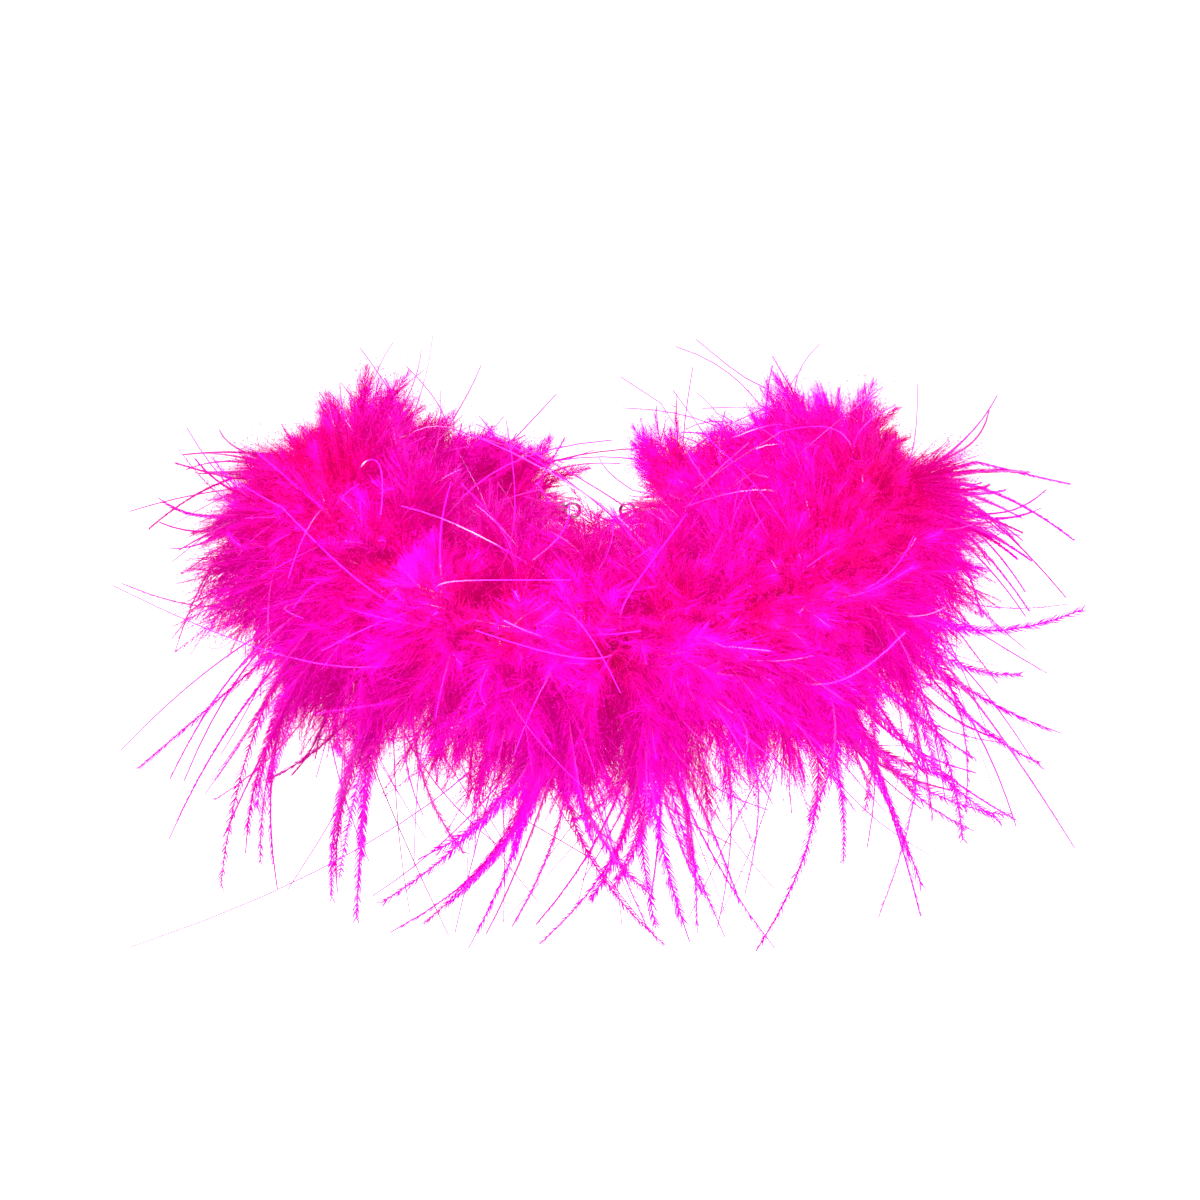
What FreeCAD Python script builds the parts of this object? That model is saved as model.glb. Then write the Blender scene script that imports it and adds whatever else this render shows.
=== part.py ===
import FreeCAD, Part
import math
import os

# A short feather boa worn once round the neck, hanging a little lower in front.
# Frame: +X to the right as seen from the front, +Y to the back, +Z up. Left and right are
# as seen from the front.
# The origin is the middle of the neck opening, level with the cord at the two sides.
# Units are millimetres and degrees.

# Route of the core cord round the neck
RING_HALF_WIDTH = 63.0      # X, from the origin to the cord
RING_HALF_DEPTH = 56.0      # Y, from the origin to the cord
FRONT_SAG = 24.0            # how far the cord hangs below the sides at the front
BACK_SAG = 15.0             # the same at the back
SAG_POWER = 3.0             # above 2 keeps the low stretch wide and flat
ROUTE_STEPS = 1440          # samples used to measure the route's length
CLOSURE_GAP = 34.0          # stretch at the back with no feathers
CORD_TAIL = 7.0             # bare cord past the last tuft, crimped in the end cap
CUT_PAST = 2.0              # how much longer a cutter is than what it cuts through

# Core cord, quills and binding
CORD_RADIUS = 1.5
FLEX_GAP = 1.4              # between two cord lengths, for the bend at each flex point
TUFTS_PER_SEGMENT = 3
QUILL_INNER_RADIUS = 2.0
QUILL_OUTER_RADIUS = 3.0
QUILL_LENGTH = 11.0
BINDING_INNER_RADIUS = 1.6
BINDING_OUTER_RADIUS = 2.3
BINDING_WIDTH = 2.2

# Tufts of down: a lens of plumes, mostly on the side away from the neck
TUFT_RADIUS = 26.0
TUFT_OFFSET = 10.0          # from the cord to the middle of the tuft
TUFT_HALF_THICKNESS = 6.0   # at the middle
TUFT_SHOULDER_HALF_THICKNESS = 5.28   # halfway to the rim
TUFT_RIM_HALF_THICKNESS = 2.4
TUFT_RIM_ROUND = 2.0
TUFT_BORE_CLEARANCE = 0.15
SIDE_DROOP = 18.0           # degrees that the tufts lean down at the two sides
FRONT_DROOP = 34.0          # at the front
BACK_DROOP = 12.0           # and at the back

# Long plumes that stand out past the tufts
PLUME_ROOT = 2.5
PLUME_LENGTH = 64.0
PLUME_HALF_WIDTH = 3.4
PLUME_THICKNESS = 0.8
PLUME_BEND = 5.0
PLUMES = {                  # degrees above level, one list for each gap between tufts
    "front": ((-68.0, -38.0), (-64.0, -34.0)),
    "left_1": ((-56.0,), (-46.0, -16.0)),
    "right_1": ((-58.0, -30.0), (-44.0, -16.0)),
    "left_2": ((-4.0,), (20.0,)),
    "right_2": ((-8.0, 30.0), (14.0,)),
}
UPPER_PLUMES_ABOVE = -10.0  # degrees above level from which a plume is an upper, shorter one
UPPER_PLUME_SHARE = 0.62    # length of an upper plume, as a share of the others

# Metal ends: cap, ring, clasp and extension chain
WIRE_RADIUS = 0.4
CAP_OUTER_RADIUS = 2.75
CAP_INNER_RADIUS = 1.95
CAP_LENGTH = 8.0
CAP_FLOOR = 1.4
CAP_ROUND = 0.6
LOOP_RADIUS = 1.8           # to the middle of the wire
LOOP_SINK = 0.3             # how deep the loop's wire is set in the cap's floor
RING_RADIUS = 2.0           # jump ring, to the middle of the wire
RING_PLAY = 0.1             # space between two linked wires
LINK_BEND_RADIUS = 1.2
LINK_STRAIGHT = 2.2
UPPER_LINKS = 5
LOWER_LINKS = 6
DROP_RADIUS = 2.0
DROP_LENGTH = 6.0
DROP_NECK_RADIUS = 0.6
DROP_CONE_RISE = 0.5        # where the cone leaves the ball, as shares of the ball's radius
DROP_CONE_WIDTH = 0.8

CLASP_EYE_RADIUS = 1.3
CLASP_HALF_WIDTH = 3.3
CLASP_HALF_LENGTH = 4.9
CLASP_WALL = 1.3
CLASP_THICKNESS = 2.4
CLASP_DROP = 6.3            # from the eye to the middle of the hook
GATE_TOP = 3.3              # below the eye: the trigger's pivot
GATE_BOTTOM = 9.2           # below the eye: the mouth of the hook
GATE_PLAY = 0.15
GATE_INSIDE = 0.6           # across from the eye to where the gate's side starts
TRIGGER_THICKNESS = 1.0
TRIGGER_SLOT = 1.3
SLOT_PLAY = 0.35            # round the ears, so that the trigger's boss can turn
PIVOT_X = 2.0
PIVOT_BOSS_RADIUS = 0.85
PIVOT_SLOT_RADIUS = 1.15
PIN_RADIUS = 0.3
PIN_HOLE_PLAY = 0.05
NUB_RADIUS = 0.55
NUB_REACH = 1.75
NUB_DROP = 0.2
STEM_DROP = 0.5
STEM_HEIGHT = 0.6
SPRING_WIRE_RADIUS = 0.12
SPRING_PLAY = 0.1

SEGMENTS = ("left_3", "left_2", "left_1", "front", "right_1", "right_2", "right_3")
UP = FreeCAD.Vector(0, 0, 1)
BACKWARD = FreeCAD.Vector(0, 1, 0)
SIDEWAYS = FreeCAD.Vector(1, 0, 0)


def sag(turn):
    """How far the cord hangs below the sides, at an angle round from the front."""
    depth = FRONT_SAG if math.cos(turn) > 0 else BACK_SAG
    return depth * (1.0 - abs(math.sin(turn)) ** SAG_POWER)


def route_at(turn):
    """A point of the cord's route; turn is 0 at the front and half a turn at the back."""
    x = RING_HALF_WIDTH * math.sin(turn)
    y = -RING_HALF_DEPTH * math.cos(turn)
    return FreeCAD.Vector(x, y, -sag(turn))


def measure_route():
    """Turns and the distances from the front to them, over half of the route."""
    turns = [math.pi * i / ROUTE_STEPS for i in range(ROUTE_STEPS + 1)]
    lengths = [0.0]
    for a, b in zip(turns, turns[1:]):
        lengths.append(lengths[-1] + (route_at(b) - route_at(a)).Length)
    return turns, lengths


TURNS, LENGTHS = measure_route()
HALF_ROUTE = LENGTHS[-1]
FEATHERED_HALF = HALF_ROUTE - CLOSURE_GAP / 2.0
SEGMENT_LENGTH = 2.0 * FEATHERED_HALF / len(SEGMENTS)
TUFT_SPACING = SEGMENT_LENGTH / TUFTS_PER_SEGMENT


def turn_at(distance):
    """The angle round the neck at a distance along the cord; left is negative."""
    wanted = min(abs(distance), HALF_ROUTE)
    i = 1
    while LENGTHS[i] < wanted and i < ROUTE_STEPS:
        i += 1
    share = (wanted - LENGTHS[i - 1]) / (LENGTHS[i] - LENGTHS[i - 1])
    turn = TURNS[i - 1] + share * (TURNS[i] - TURNS[i - 1])
    return math.copysign(turn, distance)


def segment_span(index):
    start = -FEATHERED_HALF + index * SEGMENT_LENGTH
    return start, start + SEGMENT_LENGTH


def cord_span(index):
    """The span of one segment, with the bare tail at the two ends of the collar."""
    start, end = segment_span(index)
    if index == 0:
        start -= CORD_TAIL
    if index == len(SEGMENTS) - 1:
        end += CORD_TAIL
    return start, end


def cord_arc(index):
    """The arc that one segment of the cord follows."""
    start, end = cord_span(index)
    places = [route_at(turn_at(s)) for s in (start, (start + end) / 2.0, end)]
    return Part.Arc(*places).toShape()


ARCS = [cord_arc(index) for index in range(len(SEGMENTS))]


def arc_and_parameter(distance):
    index = int((distance + FEATHERED_HALF) / SEGMENT_LENGTH)
    index = max(0, min(len(SEGMENTS) - 1, index))
    start, end = cord_span(index)
    share = (distance - start) / (end - start)
    arc = ARCS[index]
    return arc, arc.FirstParameter + share * (arc.LastParameter - arc.FirstParameter)


def point_at(distance):
    """A point of the cord, at a distance along it from the front; left is negative."""
    arc, parameter = arc_and_parameter(distance)
    return arc.valueAt(parameter)


def tangent_at(distance):
    """The cord's direction, from the left end to the right end."""
    arc, parameter = arc_and_parameter(distance)
    return arc.tangentAt(parameter)


def outward_at(distance):
    """Level direction away from the neck, square to the cord."""
    along = tangent_at(distance)
    out = along.cross(UP).normalize()
    here = point_at(distance)
    return out if out.dot(FreeCAD.Vector(here.x, here.y, 0)) > 0 else -out


def leaning(distance, degrees):
    """Direction square to the cord, outward and turned up by some degrees."""
    out = outward_at(distance)
    along = tangent_at(distance)
    rise = out.cross(along)
    if rise.z < 0:
        rise = -rise
    angle = math.radians(degrees)
    return out * math.cos(angle) + rise * math.sin(angle)


def droop_at(distance):
    turn = turn_at(distance)
    end_droop = FRONT_DROOP if math.cos(turn) > 0 else BACK_DROOP
    return SIDE_DROOP + (end_droop - SIDE_DROOP) * math.cos(turn) ** 2


def tuft_centres(index):
    start, _ = segment_span(index)
    return [start + (i + 0.5) * TUFT_SPACING for i in range(TUFTS_PER_SEGMENT)]


def gap_centres(index):
    start, _ = segment_span(index)
    return [start + i * TUFT_SPACING for i in range(1, TUFTS_PER_SEGMENT)]


def rod(start, direction, radius, length):
    """A cylinder centred on a point."""
    base = start - direction * (length / 2.0)
    return Part.makeCylinder(radius, length, base, direction)


def tube(centre, direction, inner, outer, length):
    return rod(centre, direction, outer, length).cut(rod(centre, direction, inner, length + CUT_PAST))


def torus(centre, normal, ring_radius, wire_radius):
    return Part.makeTorus(ring_radius, wire_radius, centre, normal)


def bent_rod(start, middle, end, radius):
    """A round rod along the arc through three points."""
    curve = Part.Arc(start, middle, end).toShape().Curve
    first = (start - curve.Center).normalize()
    last = (end - curve.Center).normalize()
    axis = first.cross(last).normalize()
    disc = Part.Face(Part.Wire([Part.makeCircle(radius, start, axis.cross(first))]))
    return disc.revolve(curve.Center, axis, math.degrees(first.getAngle(last)))


def core_cord(index):
    """One length of the core cord, up to the flex points at its two ends."""
    start, end = cord_span(index)
    if index > 0:
        start += FLEX_GAP / 2.0
    if index < len(SEGMENTS) - 1:
        end -= FLEX_GAP / 2.0
    middle = (start + end) / 2.0
    return bent_rod(point_at(start), point_at(middle), point_at(end), CORD_RADIUS)


def quill_bundles(index):
    """The bunched quill ends of each tuft, tied round the cord."""
    return [
        tube(point_at(s), tangent_at(s), QUILL_INNER_RADIUS, QUILL_OUTER_RADIUS, QUILL_LENGTH)
        for s in tuft_centres(index)
    ]


def binding_bands(index):
    """Bands of thread wound on the cord between the tufts."""
    return [
        tube(point_at(s), tangent_at(s), BINDING_INNER_RADIUS, BINDING_OUTER_RADIUS, BINDING_WIDTH)
        for s in gap_centres(index)
    ]


def lens(centre, axis, across):
    """A disc with a crowned face on each side and a rounded rim."""
    def at(along, out):
        return centre + axis * along + across * out

    shoulder = TUFT_RADIUS - TUFT_RIM_ROUND
    half = shoulder / 2.0
    left = Part.Arc(
        at(-TUFT_HALF_THICKNESS, 0),
        at(-TUFT_SHOULDER_HALF_THICKNESS, half),
        at(-TUFT_RIM_HALF_THICKNESS, shoulder),
    )
    rim = Part.Arc(
        at(-TUFT_RIM_HALF_THICKNESS, shoulder),
        at(0, TUFT_RADIUS),
        at(TUFT_RIM_HALF_THICKNESS, shoulder),
    )
    right = Part.Arc(
        at(TUFT_RIM_HALF_THICKNESS, shoulder),
        at(TUFT_SHOULDER_HALF_THICKNESS, half),
        at(TUFT_HALF_THICKNESS, 0),
    )
    back = Part.LineSegment(at(TUFT_HALF_THICKNESS, 0), at(-TUFT_HALF_THICKNESS, 0))
    outline = Part.Wire([edge.toShape() for edge in (left, rim, right, back)])
    return Part.Face(outline).revolve(centre, axis, 360)


def plume_tuft(distance):
    """One tuft of down with the bore that its quills fill."""
    axis = tangent_at(distance)
    across = leaning(distance, -droop_at(distance))
    here = point_at(distance)
    bore = rod(here, axis, QUILL_OUTER_RADIUS + TUFT_BORE_CLEARANCE, 6 * TUFT_HALF_THICKNESS)
    return lens(here + across * TUFT_OFFSET, axis, across).cut(bore)


def long_plume(distance, degrees):
    """A flat curved blade from the cord outward, square to the cord."""
    upper = degrees >= UPPER_PLUMES_ABOVE
    length = PLUME_LENGTH * UPPER_PLUME_SHARE if upper else PLUME_LENGTH
    along = tangent_at(distance)
    out = leaning(distance, degrees)
    side = along.cross(out).normalize()
    if side.z > 0:
        side = -side
    here = point_at(distance) - along * (PLUME_THICKNESS / 2.0)
    root = here + out * PLUME_ROOT
    tip = here + out * length
    middle = (root + tip) * 0.5
    top_edge = Part.Arc(root, middle - side * (PLUME_HALF_WIDTH - PLUME_BEND / 2.0), tip)
    low_edge = Part.Arc(tip, middle - side * (-PLUME_HALF_WIDTH - PLUME_BEND / 2.0), root)
    outline = Part.Wire([top_edge.toShape(), low_edge.toShape()])
    return Part.Face(outline).extrude(along * PLUME_THICKNESS)


def long_plumes(name):
    gaps = gap_centres(SEGMENTS.index(name))
    if name.startswith("left"):
        gaps = gaps[::-1]
    blades = []
    for distance, angles in zip(gaps, PLUMES[name]):
        for degrees in angles:
            blades.append(long_plume(distance, degrees))
    return blades


def cord_end(side):
    """Where the cord stops at the back, and the direction it points there."""
    distance = side * (FEATHERED_HALF + CORD_TAIL)
    return point_at(distance), tangent_at(distance) * side


def loop_centre(side):
    end, direction = cord_end(side)
    return end + direction * (CAP_FLOOR - LOOP_SINK + WIRE_RADIUS + LOOP_RADIUS)


def end_cap(side):
    """Crimped cup over the cord's end, with an upright wire loop on its floor."""
    end, direction = cord_end(side)
    mouth = end - direction * (CAP_LENGTH - CAP_FLOOR)
    shell = Part.makeCylinder(CAP_OUTER_RADIUS, CAP_LENGTH, mouth, direction)
    rounded = shell.makeFillet(CAP_ROUND, [shell.Edges[0]])
    loop = torus(loop_centre(side), direction.cross(UP), LOOP_RADIUS, WIRE_RADIUS)
    depth = CAP_LENGTH - CAP_FLOOR
    start = mouth - direction * CUT_PAST
    inside = Part.makeCylinder(CAP_INNER_RADIUS, depth + CUT_PAST, start, direction)
    return rounded.fuse(loop).cut(inside)


def hang_point(side):
    """Middle of the loop's lowest wire, which the jump ring turns about."""
    return loop_centre(side) - UP * LOOP_RADIUS


def ring_centre(side):
    drop = RING_RADIUS - 2 * WIRE_RADIUS - RING_PLAY
    return hang_point(side) - UP * drop


def jump_ring(side):
    return torus(ring_centre(side), SIDEWAYS, RING_RADIUS, WIRE_RADIUS)


def chain_link(centre, upright_plane):
    """An oval link of round wire; its flat side faces back or sideways."""
    across = SIDEWAYS if upright_plane == "XZ" else BACKWARD
    half = LINK_STRAIGHT / 2.0
    top = centre + UP * half
    bottom = centre - UP * half
    normal = across.cross(UP)
    upper = torus(top, normal, LINK_BEND_RADIUS, WIRE_RADIUS)
    lower = torus(bottom, normal, LINK_BEND_RADIUS, WIRE_RADIUS)
    size = 4 * LINK_BEND_RADIUS
    corner = FreeCAD.Vector(size / 2.0, size / 2.0, 0)
    above = Part.makeBox(size, size, size, top - corner)
    below = Part.makeBox(size, size, size, bottom - corner - UP * size)
    legs = [
        rod(centre + across * (sign * LINK_BEND_RADIUS), UP, WIRE_RADIUS, LINK_STRAIGHT)
        for sign in (-1, 1)
    ]
    return upper.common(above).fuse([lower.common(below)] + legs).removeSplitter()


def chain_places():
    """Centres of the links and the points that each one turns about."""
    reach = LINK_STRAIGHT / 2.0 + LINK_BEND_RADIUS
    wire_below = ring_centre(1).z - RING_RADIUS
    start = ring_centre(1)
    centres = []
    pivots = []
    for _ in range(UPPER_LINKS + LOWER_LINKS):
        pivots.append(FreeCAD.Vector(start.x, start.y, wire_below))
        centre_z = wire_below + 2 * WIRE_RADIUS + RING_PLAY - reach
        centres.append(FreeCAD.Vector(start.x, start.y, centre_z))
        wire_below = centre_z - reach
    return centres, pivots, wire_below


def chain_links(first, last):
    centres, _, _ = chain_places()
    return [chain_link(centres[i], "YZ" if i % 2 else "XZ") for i in range(first, last)]


def end_drop():
    """Teardrop weight that ends the chain, with its own eye."""
    centres, _, wire_below = chain_places()
    last_plane = "YZ" if (len(centres) - 1) % 2 else "XZ"
    normal = BACKWARD if last_plane == "YZ" else SIDEWAYS
    eye_radius = LINK_BEND_RADIUS
    x, y = centres[0].x, centres[0].y
    eye = FreeCAD.Vector(x, y, wire_below + 2 * WIRE_RADIUS + RING_PLAY - eye_radius)
    ring = torus(eye, normal, eye_radius, WIRE_RADIUS)
    ball_centre = eye - UP * (eye_radius + DROP_LENGTH - DROP_RADIUS)
    ball = Part.makeSphere(DROP_RADIUS, ball_centre)
    cone_base = ball_centre + UP * (DROP_RADIUS * DROP_CONE_RISE)
    cone_height = DROP_LENGTH - DROP_RADIUS * (1.0 + DROP_CONE_RISE) + WIRE_RADIUS / 2.0
    cone_radius = DROP_RADIUS * DROP_CONE_WIDTH
    cone = Part.makeCone(cone_radius, DROP_NECK_RADIUS, cone_height, cone_base, UP)
    return ball.fuse([cone, ring])


def clasp_eye():
    """Centre of the clasp's eye, linked through the left jump ring."""
    ring_bottom = ring_centre(-1) - UP * RING_RADIUS
    return ring_bottom + UP * (2 * WIRE_RADIUS + RING_PLAY - CLASP_EYE_RADIUS)


def clasp_place(across, down):
    return clasp_eye() + SIDEWAYS * across - UP * down


def clasp_oval(half_width, half_length, thickness):
    centre = clasp_place(0, CLASP_DROP)
    long_axis = centre - UP * half_length
    short_axis = centre + SIDEWAYS * half_width
    ellipse = Part.Ellipse(long_axis, short_axis, centre)
    face = Part.Face(Part.Wire([ellipse.toShape()]))
    face.translate(BACKWARD * (-thickness / 2.0))
    return face.extrude(BACKWARD * thickness)


def clasp_loop(thickness):
    inner_width = CLASP_HALF_WIDTH - CLASP_WALL
    inner_length = CLASP_HALF_LENGTH - CLASP_WALL
    outer = clasp_oval(CLASP_HALF_WIDTH, CLASP_HALF_LENGTH, thickness)
    return outer.cut(clasp_oval(inner_width, inner_length, thickness + CUT_PAST))


def gate_zone(play, depth):
    """The side of the hook that the trigger closes."""
    top = GATE_TOP + play
    bottom = GATE_BOTTOM - play
    corner = clasp_place(GATE_INSIDE, bottom) - BACKWARD * (depth / 2.0)
    return Part.makeBox(2 * CLASP_HALF_WIDTH, depth, bottom - top, corner)


def pivot_place():
    return clasp_place(PIVOT_X, GATE_TOP)


def clasp_body():
    """Hooked body with its eye, and a slot and two ears for the trigger."""
    loop = clasp_loop(CLASP_THICKNESS)
    eye = torus(clasp_eye(), BACKWARD, CLASP_EYE_RADIUS, WIRE_RADIUS)
    ears = rod(pivot_place(), BACKWARD, PIVOT_SLOT_RADIUS, CLASP_THICKNESS)
    through = CLASP_THICKNESS + CUT_PAST
    mouth = gate_zone(0.0, through)
    slot = rod(pivot_place(), BACKWARD, PIVOT_SLOT_RADIUS + SLOT_PLAY, TRIGGER_SLOT)
    pin_hole = rod(pivot_place(), BACKWARD, PIN_RADIUS, through)
    eye_hole = rod(clasp_eye(), BACKWARD, CLASP_EYE_RADIUS - WIRE_RADIUS, through)
    return loop.cut(mouth).fuse([ears, eye]).cut(slot).cut(pin_hole).cut(eye_hole)


def clasp_trigger():
    """Gate arm that turns inward on the pin, with a thumb nub outside."""
    through = TRIGGER_THICKNESS + CUT_PAST
    arm = clasp_loop(TRIGGER_THICKNESS).common(gate_zone(GATE_PLAY, through))
    boss = rod(pivot_place(), BACKWARD, PIVOT_BOSS_RADIUS, TRIGGER_THICKNESS)
    nub_centre = pivot_place() + SIDEWAYS * NUB_REACH - UP * NUB_DROP
    nub = rod(nub_centre, BACKWARD, NUB_RADIUS, TRIGGER_THICKNESS)
    stem_corner = pivot_place() - UP * STEM_DROP - BACKWARD * (TRIGGER_THICKNESS / 2.0)
    stem = Part.makeBox(NUB_REACH, TRIGGER_THICKNESS, STEM_HEIGHT, stem_corner)
    hole = rod(pivot_place(), BACKWARD, PIN_RADIUS + PIN_HOLE_PLAY, through)
    return arm.fuse([boss, nub, stem]).cut(hole)


def trigger_pin():
    return rod(pivot_place(), BACKWARD, PIN_RADIUS, CLASP_THICKNESS)


def trigger_spring():
    """Bent wire spring that lies in the slot over the trigger's boss."""
    centre = pivot_place()
    reach = PIVOT_BOSS_RADIUS + SPRING_WIRE_RADIUS + SPRING_PLAY

    def at(degrees):
        angle = math.radians(degrees)
        return centre + SIDEWAYS * (reach * math.cos(angle)) + UP * (reach * math.sin(angle))

    return bent_rod(at(150), at(110), at(70), SPRING_WIRE_RADIUS)


def write(name, shapes):
    """One STEP file for one node; several separate solids share a file."""
    solids = shapes if isinstance(shapes, list) else [shapes]
    shape = solids[0] if len(solids) == 1 else Part.makeCompound(solids)
    if not shape.isValid():
        raise SystemExit(name + " is not a valid shape")
    shape.exportStep("parts/" + name + ".step")


def main():
    os.makedirs("parts", exist_ok=True)
    for index, name in enumerate(SEGMENTS):
        write("core_cord_" + name, core_cord(index))
        write("quill_bundles_" + name, quill_bundles(index))
        write("binding_thread_" + name, binding_bands(index))
        for number, distance in enumerate(tuft_centres(index), start=1):
            write("plume_tuft_%s_%d" % (name, number), plume_tuft(distance))
    for name in PLUMES:
        write("long_plumes_" + name, long_plumes(name))
    write("end_cap_left", end_cap(-1))
    write("end_cap_right", end_cap(1))
    write("jump_ring_left", jump_ring(-1))
    write("jump_ring_right", jump_ring(1))
    write("chain_links_upper", chain_links(0, UPPER_LINKS))
    write("chain_links_lower", chain_links(UPPER_LINKS, UPPER_LINKS + LOWER_LINKS))
    write("chain_end_drop", end_drop())
    write("clasp_body", clasp_body())
    write("clasp_trigger", clasp_trigger())
    write("trigger_pin", trigger_pin())
    write("trigger_spring", trigger_spring())
    print("cord route %.1f mm, segment %.1f mm" % (2 * HALF_ROUTE, SEGMENT_LENGTH))


main()
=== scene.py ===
import math

import bpy
import numpy as np
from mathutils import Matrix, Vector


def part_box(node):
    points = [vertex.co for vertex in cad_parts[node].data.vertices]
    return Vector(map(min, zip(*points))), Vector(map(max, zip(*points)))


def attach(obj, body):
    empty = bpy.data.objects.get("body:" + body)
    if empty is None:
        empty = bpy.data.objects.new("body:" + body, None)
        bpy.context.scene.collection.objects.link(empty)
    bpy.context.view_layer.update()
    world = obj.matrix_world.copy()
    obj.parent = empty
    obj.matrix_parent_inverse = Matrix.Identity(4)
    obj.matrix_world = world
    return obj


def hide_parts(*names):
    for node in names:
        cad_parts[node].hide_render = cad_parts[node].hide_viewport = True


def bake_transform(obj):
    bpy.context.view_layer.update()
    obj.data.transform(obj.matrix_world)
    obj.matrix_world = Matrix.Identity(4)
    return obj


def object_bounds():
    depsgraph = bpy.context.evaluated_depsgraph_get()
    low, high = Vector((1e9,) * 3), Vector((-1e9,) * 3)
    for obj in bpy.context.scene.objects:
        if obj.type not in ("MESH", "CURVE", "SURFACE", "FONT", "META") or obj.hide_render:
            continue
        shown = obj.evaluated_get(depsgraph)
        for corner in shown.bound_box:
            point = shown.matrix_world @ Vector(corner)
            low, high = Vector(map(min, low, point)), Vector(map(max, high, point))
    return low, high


# A short marabou boa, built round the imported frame. Lengths are metres unless a name says MM.
# Every tuft of down is a bunch of plumes: a shaft, long soft barbs with barbules near the
# cord, and short swept barbs towards the tip.

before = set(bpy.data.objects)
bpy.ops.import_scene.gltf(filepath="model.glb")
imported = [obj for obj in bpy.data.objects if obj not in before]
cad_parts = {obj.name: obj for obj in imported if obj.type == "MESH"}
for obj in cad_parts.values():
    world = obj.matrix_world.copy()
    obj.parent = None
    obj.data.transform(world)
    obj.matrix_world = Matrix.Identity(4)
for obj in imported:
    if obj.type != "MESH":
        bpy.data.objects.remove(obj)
CAD_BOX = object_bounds()

MM = 0.001
SEED = 20731
UP = np.array([0.0, 0.0, 1.0])
SEGMENTS = ("left_3", "left_2", "left_1", "front", "right_1", "right_2", "right_3")
TUFTS_PER_SEGMENT = 3
UV_MAP = "OFBake"            # name of the UV map that carries the colour places; the export uses a map of this name as it is

# Room that the tips may take outside the CAD box
BOX_SHARE = 0.03
BOX_EXTRA = 1.5 * MM         # for the shafts
BOX_LIMIT = 9.3 * MM         # for everything; tips bend back from it
BOX_SOFT = 5.0 * MM          # depth over which they bend back
REACH = 60.0 * MM            # distance from the cord that the colour ramp covers
NORMALS_SQUARE = 0.6         # how far the barbs' normals are turned square to the cord

# Neck opening that the down is pressed back from
NECK_HALF_WIDTH = 45.0 * MM
NECK_HALF_DEPTH = 38.5 * MM
NECK_PRESS = 0.6             # share of the way that down inside the opening is pushed out
NECK_LAY = 0.4               # how far it moves up or down the neck for each length pushed
NECK_SOFT = 8.0 * MM         # height above the cord over which it comes to move up
NECK_TURN = 1.7              # how strongly the plumes on the neck side are turned along it
NECK_UP_SHARE = 0.68         # share of them that lie upward, not downward

# Down of one tuft: how far its body reaches from the cord
DENSE_RADIUS = 22.0 * MM     # at the two sides
DENSE_FRONT = 2.5 * MM       # more at the front, less at the back
DENSE_OFFSET = 8.0 * MM      # more on the tuft's drooping side
DENSE_FALL = 5.0 * MM        # more below the cord, less above
DENSE_LAID = 8.0 * MM        # more for the down that is laid up or down along the neck
FRONT_RISE = 9.0 * MM        # more for the down at the front that stands up
SIDE_RISE = 7.0 * MM         # more for the down at the sides that stands up
SIDE_FALL = 9.0 * MM         # more for the down at the sides that points down and outward
SHOULDER = 9.0 * MM          # less for the down at the sides that points up and outward
SHOULDER_START = 0.25        # how far below level that begins, as a slope
RIGHT_TRIM = 10.0 * MM       # less for the outward down on the right side
RIGHT_START = 1.2            # how far below level that begins
SPIKE_RISE = 0.2             # share by which upward spikes are shorter
SIDE_TRIM = 0.25             # share by which the stray plumes at the two sides are shorter
BARE_RISE = 0.65             # share by which upward spikes have shorter barbs
EXTRA_DROOP = 0.35           # how much lower the down hangs than its plain tuft
LOBES = 11                   # each lobe of a tuft is a clump of plumes that go one way
LOBE_STRAY = 12.0            # degrees that a lobe strays round the cord
LOBE_LEAN = 16.0             # degrees that it leans along the cord
LOBE_BEND = 0.25             # how much its plumes bend together
LOBE_SAG = 0.35              # how much they sag at most
PLUME_STRAY = 20.0           # degrees that a plume strays from its lobe, round the cord
PLUME_LEAN = 11.0            # degrees along the cord
PLUME_SLIDE = 2.5 * MM       # how far its root strays along the cord
GOLDEN_ANGLE = 137.508       # spreads directions evenly round the cord
SLIDE = 7.5 * MM             # how far along the cord the plumes of a tuft are rooted
ROOT_RADIUS = 2.0 * MM       # how far from the cord's middle they are rooted
STEEPEST_LEAN = 58.0         # degrees that a plume may lean along the cord
FLUFF_TILT = 34.0            # degrees that the fluff near the cord leans along it
# Degrees that the two end tufts lean over the closure
END_LEANS = {"plume_tuft_left_3_1": -24.0, "plume_tuft_right_3_3": 24.0}

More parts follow.
